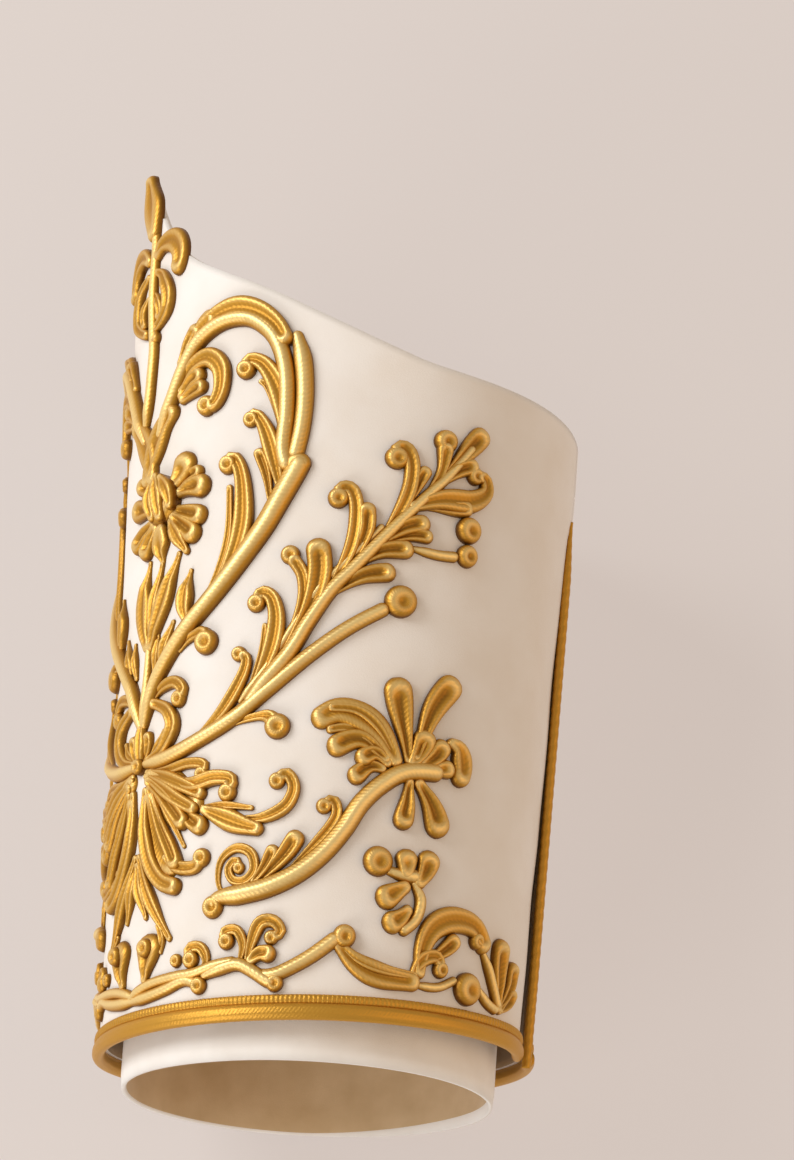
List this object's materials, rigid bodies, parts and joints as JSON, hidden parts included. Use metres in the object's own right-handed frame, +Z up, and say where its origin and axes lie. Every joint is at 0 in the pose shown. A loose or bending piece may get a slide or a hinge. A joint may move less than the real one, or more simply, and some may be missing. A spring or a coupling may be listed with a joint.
{
  "type": "embroidered coat cuff",
  "caption": "Deep pointed coat cuff lying on its side: white cloth with raised gold scrollwork embroidery, a gold-edged hem, a back vent and a sleeve lining showing at the wrist.",
  "frame": {"origin": "middle of the underside of the bounding box, on the surface that the cuff lies on", "axes": "+Y runs along the cuff from the wrist opening to the pointed top, +Z is up, and the vent is on the +X side"},
  "size_m": [0.1224, 0.2394, 0.1163],
  "materials": {
    "cloth": "fine white wool, matte",
    "lining": "white twill, matte",
    "gold_thread": "gilt wire thread, satin",
    "gold_cord": "twisted gilt cord and woven braid, satin"
  },
  "bodies": {
    "root": {"cuff_shell": "cloth", "sleeve_lining": "lining", "hem_cord": "gold_cord", "hem_braid": "gold_cord", "vent_cord": "gold_cord", "knot": "gold_thread", "centre_finial": "gold_thread", "centre_flower": "gold_thread", "scroll_right": "gold_thread", "scroll_left": "gold_thread", "spray_right": "gold_thread", "spray_left": "gold_thread", "acanthus_right": "gold_thread", "acanthus_left": "gold_thread", "lower_leaf_right": "gold_thread", "lower_leaf_left": "gold_thread", "tails": "gold_thread", "teardrop_right": "gold_thread", "teardrop_left": "gold_thread", "garland_right": "gold_thread", "garland_left": "gold_thread", "flower_branch_right": "gold_thread", "flower_branch_left": "gold_thread", "trefoil_right": "gold_thread", "trefoil_left": "gold_thread"}
  },
  "joints": []
}
